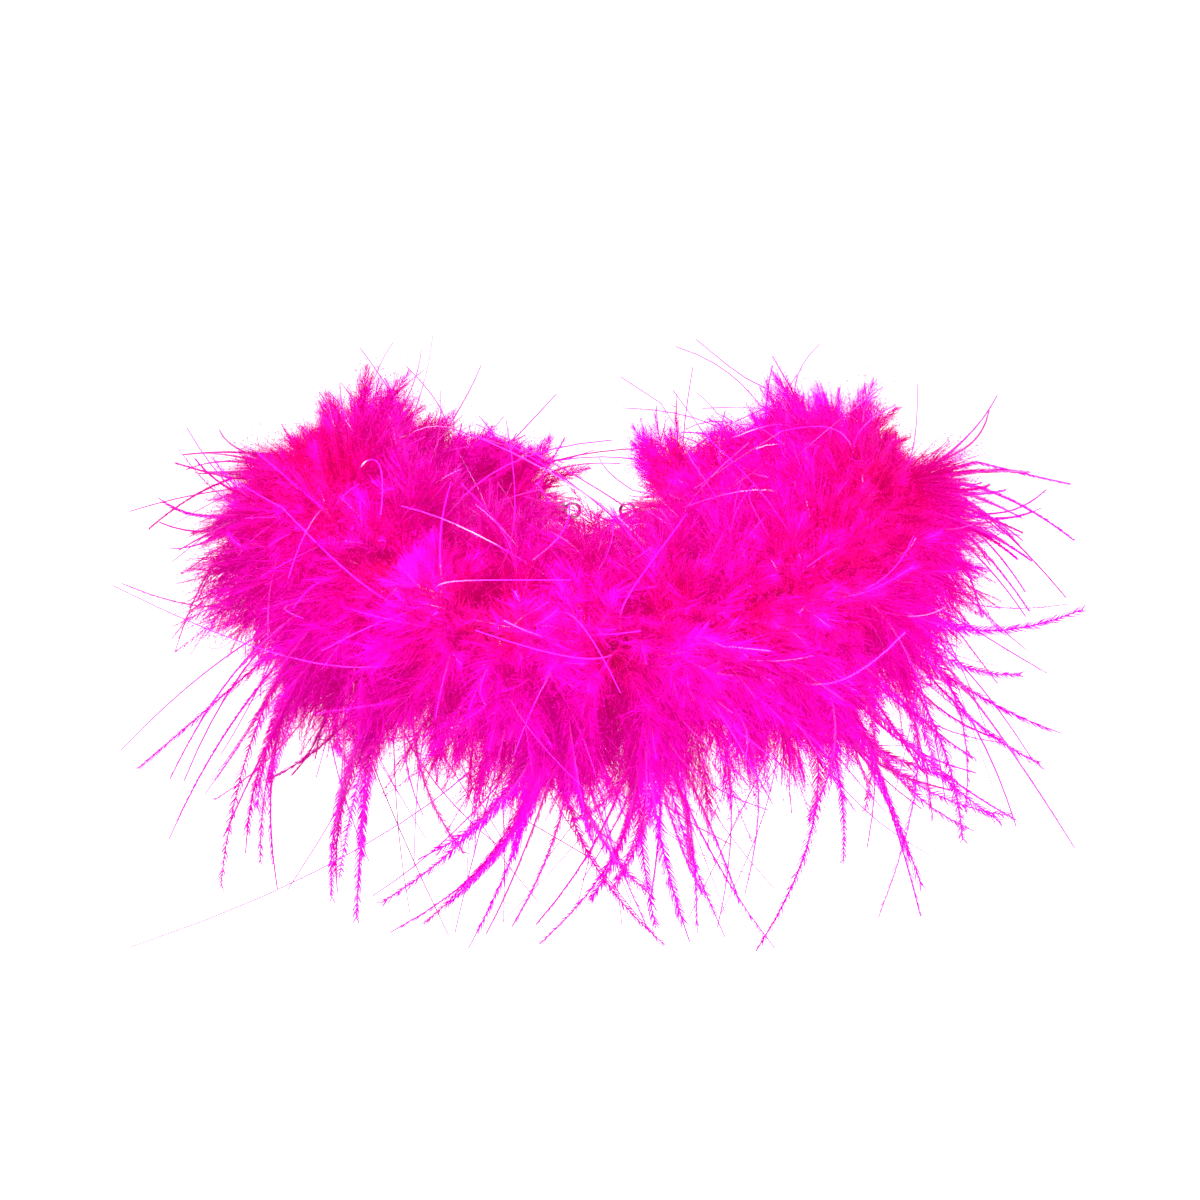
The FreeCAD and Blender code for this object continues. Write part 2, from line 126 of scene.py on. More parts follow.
# Kinds of plume. length: share of the body's reach. down, vane: pairs of barbs, and the
# part of the shaft that they cover. barb, width: longest barb of the vane, and how wide its
# barbs are. angles: of the vane's barbs from the shaft, first and last. loose: how much those
# barbs stray. taper: share by which the last are shorter. bend, hook, sink: how much the
# shaft curves, curls at its tip, and sinks. weight: thickness of the shaft.
KINDS = {
    "fluff": {
        "count": 53, "length": (0.45, 0.76), "down": (36, 0.03, 1.0),
        "vane": (6, 0.8, 1.0), "barb": 5.0 * MM, "width": 0.12 * MM, "angles": (44.0, 34.0),
        "bend": 0.5, "hook": 0.2, "sink": 0.1, "weight": 0.6, "loose": 0.22, "taper": 0.74,
    },
    "body": {
        "count": 78, "length": (0.74, 1.08), "down": (50, 0.03, 0.8),
        "vane": (30, 0.62, 1.0), "barb": 6.5 * MM, "width": 0.14 * MM, "angles": (40.0, 22.0),
        "bend": 0.5, "hook": 0.4, "sink": 0.1, "weight": 0.7, "loose": 0.22, "taper": 0.74,
    },
    "spike": {
        "count": 11, "length": (1.08, 1.5), "down": (34, 0.03, 0.56),
        "vane": (60, 0.36, 1.0), "barb": 3.6 * MM, "width": 0.13 * MM, "angles": (50.0, 36.0),
        "bend": 1.0, "hook": 1.4, "sink": 0.35, "weight": 1.3, "loose": 0.08, "taper": 0.55,
    },
    "hair": {
        "count": 8, "length": (1.25, 1.9), "down": (16, 0.03, 0.36),
        "vane": (40, 0.22, 0.9), "barb": 1.1 * MM, "width": 0.08 * MM, "angles": (40.0, 30.0),
        "bend": 1.8, "hook": 2.2, "sink": 0.7, "weight": 1.2, "loose": 0.06, "taper": 0.55,
    },
    "long": {
        "count": 1, "length": (1.0, 1.0), "down": (40, 0.02, 0.42),
        "vane": (190, 0.16, 1.0), "barb": 5.0 * MM, "width": 0.19 * MM, "angles": (42.0, 30.0),
        "bend": 0.6, "hook": 1.2, "sink": 0.7, "weight": 1.7, "loose": 0.07, "taper": 0.5,
    },
}
LONG_BUNCH = ((1.0, 0.02), (0.8, 0.18))  # share of the blade, and spread
UPPER_SLOPE = -0.25          # a long plume that points higher than this is nearly bare
UPPER_BARB = 0.35            # its barbs, as a share of the others
KINKED_SHARE = 0.05          # share of the plumes whose shaft is broken
SWAYS = 5.2                  # how far a shaft's sway goes on its length, in radians
FULL_TURN = 6.28             # about a whole turn, in radians
SHAFT_STATIONS = 15
SHAFT_ROOT_RADIUS = 0.20 * MM
SHAFT_TIP_RADIUS = 0.10 * MM
DOWN_STATIONS = 3
DOWN_LENGTH = 13.0 * MM
DOWN_FULL_PLUME = 32.0 * MM  # a plume as long as this has down of that length
DOWN_WIDTH = 0.18 * MM
DOWN_TAPER = (1.0, 0.8, 0.2)     # width at each station, as a share
DOWN_GROUP = 8                   # barbs that bunch together
DOWN_ANGLES = (44.0, 28.0)
BARBULES = 3
BARBULE_LENGTH = 1.4 * MM
BARBULE_WIDTH = 0.19 * MM
VANE_STATIONS = 3
VANE_TAPER = (1.0, 0.75, 0.2)

# Core cord, quills, binding and metal
CORD_CURVE_STEPS = 12        # steps of the curve between two tufts
CORD_END_DEPTH = 0.3 * MM    # points this near to the cord's end belong to its end face
CORD_STEP = 0.4 * MM
CORD_STRANDS = 3
CORD_STRAND_RADIUS = 0.78 * MM
CORD_STRAND_SIDES = 8
CORD_STRAND_OFFSET = 0.7 * MM
CORD_LAY = 7.0 * MM          # length of cord in which a strand goes once round
QUILLS_PER_TUFT = 40
QUILL_LAYERS = (2.2 * MM, 2.7 * MM)
QUILL_RADIUS = 0.22 * MM
QUILL_HALF_LENGTH = 5.4 * MM
QUILL_FLARE = 0.25 * MM      # most that a quill's ends stand off
QUILL_STATIONS = 6
QUILL_SIDES = 6
BAND_SEARCH = 3.4 * MM       # a band's points are this near to the middle between two tufts
BAND_STEPS = 120
BAND_HALF_WIDTH = 0.92 * MM
BAND_RADIUS = 1.95 * MM
BAND_PITCH = 0.36 * MM
THREAD_RADIUS = 0.19 * MM
THREAD_SIDES = 6
METAL_NODES = ("end_cap", "jump_ring", "chain_", "clasp_", "trigger_")
STEEL_NODES = ("trigger_pin", "trigger_spring")
METAL_GRAIN = 900.0
THREAD_GRAIN = 2600.0
PLUME_GRAIN = 34.0           # on the UV map, where a whole plume is a thin line
NOISE_RANGE = (0.3, 0.7)     # most of the noise lies in this
RELIEF = 0.1 * MM
SILVER = ((0.29, 0.29, 0.31, 1.0), (0.46, 0.46, 0.48, 1.0))
STEEL = ((0.17, 0.17, 0.19, 1.0), (0.28, 0.28, 0.30, 1.0))
CORD_PINK = ((0.52, 0.0, 0.20, 1.0), (0.80, 0.01, 0.38, 1.0))
QUILL_PINK = ((0.78, 0.02, 0.34, 1.0), (0.95, 0.10, 0.58, 1.0))
THREAD_PINK = ((0.60, 0.0, 0.25, 1.0), (0.88, 0.02, 0.45, 1.0))

# Camera and light
CAMERA_ELEVATION = 12.0      # degrees
CAMERA_DISTANCE = 1.5
FRAME_WIDTH = 0.280          # width of the view at the boa
SENSOR = 36.0
LOOK_AT = (0.0, -0.006, -0.024)
FLOOR_Z = -0.30
FLOOR_HALF_SIZE = 6.0
SKY_STRENGTH = 1.15
LIGHTS = (                   # name, place, size, power
    ("key", (-0.7, -1.1, 1.1), 0.6, 42.0),
    ("fill", (1.1, -1.1, -0.1), 0.9, 27.0),
    ("rim", (0.3, 1.2, 0.9), 0.8, 12.0),
)

# Pinks, from the cord to the tips; the first, darker and redder, is painted shade for the shadowed
# down near the cord
PINK_PAINTED_SHADE = (1.0, 0.0, 0.10, 1.0)
PINK_BODY = (1.0, 0.0, 0.56, 1.0)
PINK_TIP = (1.0, 0.0, 0.74, 1.0)
PINK_SHAFT_ROOT = (1.0, 0.0, 0.42, 1.0)
PINK_SHAFT = (0.98, 0.0, 0.68, 1.0)


def unit(v):
    return v / np.maximum(np.linalg.norm(v, axis=-1, keepdims=True), 1e-12)


def square_to(v, axis):
    """The part of v square to a unit axis, made one long."""
    return unit(v - (v * axis).sum(-1, keepdims=True) * axis)


# ---------------------------------------------------------------- places from the frame


def node_points(name):
    """The corner points of a node's mesh."""
    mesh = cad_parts[name].data
    points = np.empty(len(mesh.vertices) * 3)
    mesh.vertices.foreach_get("co", points)
    return points.reshape(-1, 3)


def box_centre(name):
    """Middle of a node's box."""
    low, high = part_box(name)
    return (np.array(low) + np.array(high)) / 2.0


def cord_frame(points):
    """Centre of a short tube round the cord, with the cord's direction and the level outward."""
    centre = (points.min(0) + points.max(0)) / 2.0
    spread = np.linalg.svd(points - points.mean(0), full_matrices=False)[2]
    along = spread[0]
    out = np.cross(along, UP)
    out = unit(out if out @ (centre * (1, 1, 0)) > 0 else -out)
    if along @ np.cross(UP, out) < 0:
        along = -along
    rise = np.cross(out, along)
    return {"centre": centre, "along": along, "out": out, "rise": rise if rise[2] > 0 else -rise}


def tuft_frames(segment):
    """One cord frame for each tuft of a segment, from its tube of quills."""
    names = ["plume_tuft_%s_%d" % (segment, i + 1) for i in range(TUFTS_PER_SEGMENT)]
    middles = np.array([box_centre(name) for name in names])
    points = node_points("quill_bundles_" + segment)
    nearest = np.linalg.norm(points[:, None] - middles[None], axis=2).argmin(1)
    spots = {}
    for i, name in enumerate(names):
        spots[name] = cord_frame(points[nearest == i])
        spot = spots[name]
        spot["droop"] = square_to(middles[i] - spot["centre"], spot["along"])
        spot["droop"] = square_to(spot["droop"] - UP * EXTRA_DROOP, spot["along"])
        spot["front"] = -spot["centre"][1] / np.linalg.norm(spot["centre"][:2])
    return spots


# ---------------------------------------------------------------- mesh building


class Strands:
    """Triangles gathered from many ribbons, with one colour place for each vertex."""

    def __init__(self):
        self.points = []
        self.triangles = []
        self.shades = []
        self.count = 0

    def add(self, points, triangles, shades):
        self.points.append(points.reshape(-1, 3))
        self.triangles.append(triangles.reshape(-1, 3) + self.count)
        self.shades.append(shades.reshape(-1))
        self.count += len(self.points[-1])

    def arrays(self):
        return (
            np.concatenate(self.points),
            np.concatenate(self.triangles),
            np.concatenate(self.shades),
        )


def ribbon(strands, spine, width, across, shade):
    """Flat tapering ribbons, each ending in a point. spine is (n, stations, 3)."""
    n, stations, _ = spine.shape
    half = (width / 2.0)[..., None] * across[:, None, :]
    left = spine[:, :-1] - half[:, :-1]
    right = spine[:, :-1] + half[:, :-1]
    tip = spine[:, -1:]
    points = np.concatenate([left, right, tip], axis=1)
    k = stations - 1
    faces = []
    for i in range(k - 1):
        faces.append((i, k + i, i + 1))
        faces.append((k + i, k + i + 1, i + 1))
    faces.append((k - 1, 2 * k - 1, 2 * k))
    starts = np.arange(n)[:, None, None] * (2 * k + 1)
    strands.add(points, np.array(faces)[None] + starts, np.repeat(shade, 2 * k + 1))


def rods(strands, spine, radius, across, up, shade, sides=3):
    """Thin rods along spines of (n, stations, 3), closed at both ends."""
    n, stations, _ = spine.shape
    corners = []
    for i in range(sides):
        angle = 2.0 * math.pi * i / sides
        offset = across * math.cos(angle) + up * math.sin(angle)
        corners.append(spine + offset * radius[..., None])
    points = np.stack(corners, axis=2)
    faces = [(0, i + 1, i) for i in range(1, sides - 1)]
    for s in range(stations - 1):
        for i in range(sides):
            a, b = sides * s + i, sides * s + (i + 1) % sides
            faces.append((a, b, a + sides))
            faces.append((b, b + sides, a + sides))
    last = sides * (stations - 1)
    faces.extend((last, last + i, last + i + 1) for i in range(1, sides - 1))
    starts = np.arange(n)[:, None, None] * (sides * stations)
    strands.add(points, np.array(faces)[None] + starts, np.repeat(shade, sides * stations))


def mesh_object(name, points, triangles, uv, materials, face_slots=None):
    mesh = bpy.data.meshes.new(name)
    mesh.vertices.add(len(points))
    mesh.vertices.foreach_set("co", points.astype(np.float32).ravel())
    mesh.loops.add(len(triangles) * 3)
    mesh.loops.foreach_set("vertex_index", triangles.astype(np.int32).ravel())
    mesh.polygons.add(len(triangles))
    mesh.polygons.foreach_set("loop_start", np.arange(0, len(triangles) * 3, 3, dtype=np.int32))
    for material in materials:
        mesh.materials.append(material)
    if face_slots is not None:
        mesh.polygons.foreach_set("material_index", face_slots.astype(np.int32))
    if uv is not None:
        layer = mesh.uv_layers.new(name=UV_MAP)
        layer.uv.foreach_set("vector", uv[triangles.ravel()].astype(np.float32).ravel())
    mesh.update(calc_edges=True)
    mesh.shade_smooth()
    made = bpy.data.objects.new(name, mesh)
    bpy.context.scene.collection.objects.link(made)
    return made


# ---------------------------------------------------------------- plumes


def shaft_at(plumes, share):
    """Points and directions of the shafts; share is (plumes, k), 0 at the root."""
    t = share[..., None]
    length = plumes["length"][:, None, None]
    start = plumes["start"][:, None]
    turn = (plumes["end"] - plumes["start"])[:, None]
    past = np.clip(t - plumes["kink_at"][:, None, None], 0.0, None)
    kink = plumes["kink"][:, None]
    phase = plumes["phase"][:, None, None]
    sway = plumes["sway"][:, None]
    wave = np.sin(SWAYS * t + phase) - np.sin(phase)
    hook = plumes["hook"][:, None]
    points = plumes["root"][:, None] + length * (
        start * t + turn * t**2 / 2.0 + hook * t**4 / 4.0 + kink * past + sway * wave
    )
    along = start + turn * t + hook * t**3 + kink * (past > 0)
    along = along + sway * SWAYS * np.cos(SWAYS * t + phase)
    return points, unit(along)


def vane_at(plumes, along):
    """Directions across the flat of the plumes, and square to it."""
    side = square_to(np.broadcast_to(plumes["side"][:, None], along.shape), along)
    return side, np.cross(along, side)


def add_shafts(strands, plumes):
    """One tapering rod for each plume."""
    n = len(plumes["length"])
    share = np.broadcast_to(np.linspace(0.0, 1.0, SHAFT_STATIONS), (n, SHAFT_STATIONS))
    points, along = shaft_at(plumes, share)
    side, up = vane_at(plumes, along)
    taper = (1.0 - share) ** 0.8
    radius = SHAFT_TIP_RADIUS + (SHAFT_ROOT_RADIUS - SHAFT_TIP_RADIUS) * taper
    rods(strands, points, radius * plumes["weight"][:, None], side, up, plumes["shade"])


def barb_curves(plumes, share, angle, length, roll, curl, loose, stations):
    """Curved barbs on both sides of the shafts; share and the rest are (plumes, k)."""
    n, k = share.shape
    base, along = shaft_at(plumes, share)
    side, up = vane_at(plumes, along)
    angle = angle[..., None]
    spread = side * np.cos(roll)[..., None] + up * np.sin(roll)[..., None]
    start = along * np.cos(angle) + spread * np.sin(angle)
    end = start + along * curl + loose
    s = np.linspace(0.0, 1.0, stations)[None, None, :, None]
    reach = length[..., None, None]
    spine = base[:, :, None] + reach * (start[:, :, None] * s + (end - start)[:, :, None] * s * s / 2)
    spine = spine.reshape(n * k, stations, 3)
    chord = unit(spine[:, -1] - spine[:, 0])
    return spine, chord, spread.reshape(n * k, 3)


def spread_along(plumes, part, jitter, rng):
    """Shares of the shafts where pairs of barbs leave them, (plumes, 2 * pairs)."""
    pairs, first, last = KINDS[plumes["kind"]][part]
    first = first * plumes["start_share"][:, None]
    last = np.minimum(last * plumes["end_share"][:, None], 1.0)
    steps = np.repeat(np.linspace(0.0, 1.0, pairs), 2)[None]
    share = first + (last - first) * steps
    return np.clip(share + rng.normal(0.0, jitter, share.shape), 0.01, 0.998), steps


def add_down(strands, plumes, rng):
    """Long soft barbs near the cord, which bunch together in small groups."""
    share, steps = spread_along(plumes, "down", 0.008, rng)
    n, k = share.shape
    sign = np.tile([0.0, math.pi], (n, k // 2))
    group = np.arange(k)[None] // DOWN_GROUP
    groups = k // DOWN_GROUP + 1
    rows = np.arange(n)[:, None]
    bunch = rng.normal(0.0, 1.0, (n, groups, 3))[rows, group]
    roll = sign + rng.normal(0.0, 0.6, (n, groups))[rows, group]
    roll += rng.normal(0.0, 0.15, (n, k))
    length = DOWN_LENGTH * (1.0 - 0.4 * steps) * rng.uniform(0.65, 1.15, (n, k))
    length *= np.clip(plumes["length"] / DOWN_FULL_PLUME, 0.5, 1.1)[:, None]
    first, last = DOWN_ANGLES
    angle = np.radians(first + (last - first) * steps + rng.normal(0.0, 6.0, (n, k)))
    loose = 0.22 * bunch + 0.08 * rng.normal(size=(n, k, 3)) - UP * 0.15
    spine, chord, _ = barb_curves(plumes, share, angle, length, roll, 1.0, loose, DOWN_STATIONS)
    across = square_to(rng.normal(size=chord.shape), chord)
    width = np.tile(DOWN_WIDTH * np.array(DOWN_TAPER), (n * k, 1))
    shade = np.repeat(plumes["shade"], k)
    ribbon(strands, spine, width, across, shade)
    add_barbules(strands, rng, spine, chord, shade)


def add_barbules(strands, rng, spine, chord, shade):
    """Short hairs along each soft barb, one thin triangle each."""
    n = len(spine)
    place = np.linspace(0.12, 1.0, BARBULES)[None] + rng.uniform(-0.05, 0.0, (n, BARBULES))
    at = place * (DOWN_STATIONS - 1)
    cell = np.clip(at.astype(int), 0, DOWN_STATIONS - 2)
    rest = (at - cell)[..., None]
    rows = np.arange(n)[:, None]
    root = spine[rows, cell] * (1 - rest) + spine[rows, cell + 1] * rest
    along = np.broadcast_to(chord[:, None], root.shape)
    out = square_to(rng.normal(size=root.shape), along)
    reach = BARBULE_LENGTH * rng.uniform(0.5, 1.3, (n, BARBULES, 1))
    tip = root + reach * unit(out + 0.8 * along)
    half = along * (BARBULE_WIDTH / 2)
    points = np.stack([root - half, root + half, tip], axis=2)
    triangles = np.arange(n * BARBULES * 3)
    strands.add(points, triangles, np.repeat(shade, BARBULES * 3))


def add_vane(strands, plumes, rng):
    """Swept barbs in a flat vane towards the tip, longest at its start."""
    facts = KINDS[plumes["kind"]]
    share, steps = spread_along(plumes, "vane", 0.003, rng)
    n, k = share.shape
    sign = np.tile([0.0, math.pi], (n, k // 2))
    cup = plumes["cup"][:, None] * np.cos(sign)
    roll = sign + rng.normal(0.0, 0.12, (n, k)) + cup
    grow = np.minimum(1.0, 0.45 + 3.0 * steps) * (1.0 - facts["taper"] * steps)
    length = plumes["barb"][:, None] * grow * rng.uniform(0.78, 1.12, (n, k))
    first, last = facts["angles"]
    angle = np.radians(first + (last - first) * steps + rng.normal(0.0, 2.5, (n, k)))
    loose = facts["loose"] * rng.normal(size=(n, k, 3))
    spine, chord, spread = barb_curves(
        plumes, share, angle, length, roll, 0.5, loose, VANE_STATIONS
    )
    width = np.tile(facts["width"] * np.array(VANE_TAPER), (n * k, 1))
    ribbon(strands, spine, width, square_to(spread, chord), np.repeat(plumes["shade"], k))


def press_from_neck(points, level):
    """Down that reaches into the neck opening is pushed back, and away from the cord's level."""
    scaled = points[:, :2] / (NECK_HALF_WIDTH, NECK_HALF_DEPTH)
    ring = np.linalg.norm(scaled, axis=1)
    inside = ring < 1.0
    past = NECK_PRESS * (1.0 / np.maximum(ring[inside], 0.3) - 1.0)
    depth = past * np.linalg.norm(points[inside, :2], axis=1)
    points[inside, :2] *= 1.0 + past[:, None]
    points[inside, 2] += NECK_LAY * depth * np.tanh((points[inside, 2] - level) / NECK_SOFT)
    return points


def within_box(plumes):
    """Shortens the plumes whose shafts would leave the room round the CAD box."""
    low, high = (np.array(corner) for corner in CAD_BOX)
    room = BOX_SHARE * (high - low) + BOX_EXTRA
    share = np.broadcast_to(np.linspace(0.0, 1.0, 6), (len(plumes["length"]), 6))
    points, _ = shaft_at(plumes, share)
    reach = points - plumes["root"][:, None]
    room_up = (high + room - plumes["root"])[:, None]
    room_down = (low - room - plumes["root"])[:, None]
    over = np.maximum(reach / room_up, reach / room_down).max((1, 2))
    plumes["length"] = plumes["length"] / np.maximum(over, 1.0)
    return plumes


def held_in_room(points):
    """Tips that would leave the room round the CAD box bend back from its sides."""
    low, high = (np.array(corner) for corner in CAD_BOX)
    room = BOX_SHARE * (high - low) + BOX_LIMIT
    for limit, sign in ((high + room, 1.0), (low - room, -1.0)):
        past = np.maximum(sign * (points - limit) + BOX_SOFT, 0.0)
        points = points - sign * (past - BOX_SOFT * (1.0 - np.exp(-past / BOX_SOFT)))
    return points


def grown(rng, kind, root, start, length, bend):
    """A set of plumes of one kind, from their roots, first directions and lengths."""
    n = len(length)
    facts = KINDS[kind]
    kinked = (rng.random(n) < KINKED_SHARE)[:, None]
    curl = square_to(rng.normal(size=(n, 3)), start) * rng.uniform(0.3, 1.2, (n, 1))
    sink = -(UP - start * start[:, 2:]) * facts["sink"] * rng.uniform(0.4, 1.6, (n, 1))
    plumes = {
        "kind": kind,
        "root": root,
        "start": start,
        "end": start + bend + facts["bend"] * curl + sink,
        "length": length,
        "hook": facts["hook"] * (0.8 * curl + 0.6 * square_to(rng.normal(size=(n, 3)), start)),
        "side": unit(rng.normal(size=(n, 3))),
        "kink_at": rng.uniform(0.55, 0.8, n),
        "kink": rng.normal(0.0, 0.5, (n, 3)) * kinked,
        "sway": rng.normal(0.0, 0.012, (n, 3)),
        "phase": rng.uniform(0.0, FULL_TURN, n),
        "cup": rng.uniform(-0.4, 0.4, n),
        "weight": facts["weight"] * rng.uniform(0.8, 1.25, n),
        "shade": rng.random(n),
        "start_share": rng.uniform(0.9, 1.15, n),
        "end_share": rng.uniform(0.94, 1.03, n),
        "barb": facts["barb"] * rng.uniform(0.75, 1.15, n),
    }
    return within_box(plumes)


def body_reach(spot, ring, start, inward):
    """How far from the cord the body of down reaches, in each plume's direction."""
    rise = np.clip(start[:, 2], 0.0, 1.0)
    outward = np.clip(start @ spot["out"], 0.0, 1.0)
    side = 1.0 - spot["front"] ** 2
    reach = DENSE_RADIUS + DENSE_FRONT * spot["front"] + DENSE_LAID * inward
    reach += DENSE_OFFSET * np.maximum(ring @ spot["droop"], -0.2) - DENSE_FALL * start[:, 2]
    reach += FRONT_RISE * max(spot["front"], 0.0) ** 2 * rise
    reach += SIDE_RISE * side * rise * (1.0 - outward)
    reach += SIDE_FALL * side * outward * np.clip(-start[:, 2], 0.0, 1.0)
    reach -= SHOULDER * side * outward * np.clip(start[:, 2] + SHOULDER_START, 0.0, 1.0)
    if spot["centre"][0] > 0:
        reach -= RIGHT_TRIM * side * outward * np.clip(RIGHT_START + start[:, 2], 0.0, 1.0)
    return reach


def tuft_plumes(rng, spot, lean_bias):
    """The plumes of one tuft, gathered in lobes; the down is longest on the drooping side."""
    lobe_around = np.arange(LOBES) * GOLDEN_ANGLE + rng.normal(0.0, LOBE_STRAY, LOBES)
    lobe_lean = rng.normal(lean_bias, LOBE_LEAN, LOBES)
    lobe_slide = rng.uniform(-SLIDE, SLIDE, LOBES)
    lobe_bend = rng.normal(0.0, LOBE_BEND, (LOBES, 3))
    lobe_bend = lobe_bend - UP * rng.uniform(0.0, LOBE_SAG, (LOBES, 1))
    side = 1.0 - spot["front"] ** 2
    sets = []
    for kind in ("fluff", "body", "spike", "hair"):
        facts = KINDS[kind]
        n = facts["count"]
        lobe = np.arange(n) % LOBES
        turn = lobe_around[lobe] + rng.normal(0.0, PLUME_STRAY, n)
        tilt = lobe_lean[lobe] + rng.normal(0.0, PLUME_LEAN, n)
        along = 0.6 * lobe_slide[lobe] + rng.normal(0.0, PLUME_SLIDE, n)
        if kind == "fluff":
            turn = np.arange(n) * GOLDEN_ANGLE
            tilt = rng.uniform(-FLUFF_TILT, FLUFF_TILT, n)
            along = rng.uniform(-SLIDE, SLIDE, n)
        around = np.radians(turn)[:, None]
        lean = np.radians(np.clip(tilt, -STEEPEST_LEAN, STEEPEST_LEAN))[:, None]
        ring = spot["out"] * np.cos(around) + spot["rise"] * np.sin(around)
        start = ring * np.cos(lean) + spot["along"] * np.sin(lean)
        root = spot["centre"] + ring * ROOT_RADIUS + spot["along"] * along[:, None]
        inward = np.clip(-(ring @ spot["out"]), 0.0, 1.0)
        upward = np.where(rng.random(n) < NECK_UP_SHARE, 1.0, -1.0)
        turned = NECK_TURN * inward * upward * rng.uniform(0.3, 1.0, n)
        start = unit(start + turned[:, None] * spot["rise"])
        length = body_reach(spot, ring, start, inward) * rng.uniform(*facts["length"], n)
        if kind == "spike":
            length *= 1.0 - SPIKE_RISE * np.clip(start[:, 2], 0.0, 1.0)
        if kind in ("spike", "hair"):
            length *= 1.0 - SIDE_TRIM * side * np.clip(start @ spot["out"], 0.0, 1.0)
        plumes = grown(rng, kind, root, start, length, lobe_bend[lobe])
        if kind == "spike":
            bare = BARE_RISE * np.clip(1.5 * start[:, 2], 0.0, 1.0)
            plumes["barb"] = plumes["barb"] * (1.0 - bare)
        sets.append(plumes)
    return sets


def loose_parts(mesh):
    """Vertex numbers of each separate part of a mesh."""
    parent = list(range(len(mesh.vertices)))

    def top(i):
        while parent[i] != i:
            parent[i] = parent[parent[i]]
            i = parent[i]
        return i

    for edge in mesh.edges:
        a, b = top(edge.vertices[0]), top(edge.vertices[1])
        parent[a] = b
    groups = {}
    for i in range(len(parent)):
        groups.setdefault(top(i), []).append(i)
    return list(groups.values())


def long_plume_set(rng, node, spot):
    """A few real plumes for each plain blade of the frame's long plumes."""
    points = node_points(node)
    root = []
    start = []
    length = []
    for part in loose_parts(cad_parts[node].data):
        blade = points[part]
        near = blade[np.linalg.norm(blade - spot["centre"], axis=1).argmin()]
        far = blade[np.linalg.norm(blade - near, axis=1).argmax()]
        reach = np.linalg.norm(far - near)
        for share, spread in LONG_BUNCH:
            root.append(near)
            start.append(unit((far - near) / reach + rng.normal(0.0, spread, 3)))
            length.append(reach * share)
    start = np.array(start)
    bend = np.tile(-UP * 0.1, (len(start), 1))
    plumes = grown(rng, "long", np.array(root), start, np.array(length), bend)
    plumes["barb"] = plumes["barb"] * np.where(start[:, 2] > UPPER_SLOPE, UPPER_BARB, 1.0)
    return [plumes]


def feather_object(name, sets, rng, spot, materials):
    """One mesh of plumes, its first slot for the shafts and its second for the barbs."""
    strands = Strands()
    for plumes in sets:
        add_shafts(strands, plumes)
    shaft_faces = sum(len(t) for t in strands.triangles)
    for plumes in sets:
        add_down(strands, plumes, rng)
        add_vane(strands, plumes, rng)
    points, triangles, shades = strands.arrays()
    points = held_in_room(press_from_neck(points, spot["centre"][2]))
    reach = points - spot["centre"]
    away = np.linalg.norm(reach, axis=1) / REACH
    uv = np.stack([0.02 + 0.96 * shades, np.clip(away, 0.01, 0.99)], axis=1)
    slots = np.ones(len(triangles), dtype=np.int32)
    slots[:shaft_faces] = 0
    lengthwise = (reach @ spot["along"])[:, None] * spot["along"]
    facing = unit(reach - NORMALS_SQUARE * lengthwise)
    triangles = turned_outward(points, triangles, facing, shaft_faces)
    made = mesh_object(name, points, triangles, uv, materials, slots)
    made.data.normals_split_custom_set_from_vertices(facing.astype(np.float32))
    return made


def turned_outward(points, triangles, facing, first):
    """Turns the flat strands' triangles so that their fronts face away from the cord."""
    a, b, c = (points[triangles[:, i]] for i in range(3))
    flip = (np.cross(b - a, c - a) * facing[triangles[:, 0]]).sum(1) < 0
    flip[:first] = False
    triangles = triangles.copy()
    triangles[flip] = triangles[flip][:, ::-1]
    return triangles


# ---------------------------------------------------------------- materials


def new_material(name):
    """A node material, with its tree and its main shader."""
    material = bpy.data.materials.new(name)
    material.use_nodes = True
    tree = material.node_tree
    return material, tree, tree.nodes["Principled BSDF"]


def plume_place(tree):
    """The place on the UV map, and its height: 0 at the cord and 1 at the farthest tips."""
    place = tree.nodes.new("ShaderNodeUVMap")
    place.uv_map = UV_MAP
    parts = tree.nodes.new("ShaderNodeSeparateXYZ")
    tree.links.new(place.outputs["UV"], parts.inputs[0])
    return place.outputs["UV"], parts.outputs["Y"]


def noise_value(tree, place, scale, detail):
    noise = tree.nodes.new("ShaderNodeTexNoise")
    noise.inputs["Scale"].default_value = scale
    noise.inputs["Detail"].default_value = detail
    tree.links.new(place, noise.inputs["Vector"])
    return noise.outputs["Fac"]


def mapped(tree, value, source, target):
    """A value taken from the source range to the target range."""
    node = tree.nodes.new("ShaderNodeMapRange")
    node.inputs["From Min"].default_value, node.inputs["From Max"].default_value = source
    node.inputs["To Min"].default_value, node.inputs["To Max"].default_value = target
    tree.links.new(value, node.inputs["Value"])
    return node.outputs["Result"]


def colour_ramp(tree, value, stops):
    """A colour from two or more stops of (position, colour)."""
    node = tree.nodes.new("ShaderNodeValToRGB")
    elements = node.color_ramp.elements
    elements[0].position, elements[0].color = stops[0]
    elements[1].position, elements[1].color = stops[-1]
    for position, colour in stops[1:-1]:
        elements.new(position).color = colour
    tree.links.new(value, node.inputs["Fac"])
    return node.outputs["Color"]


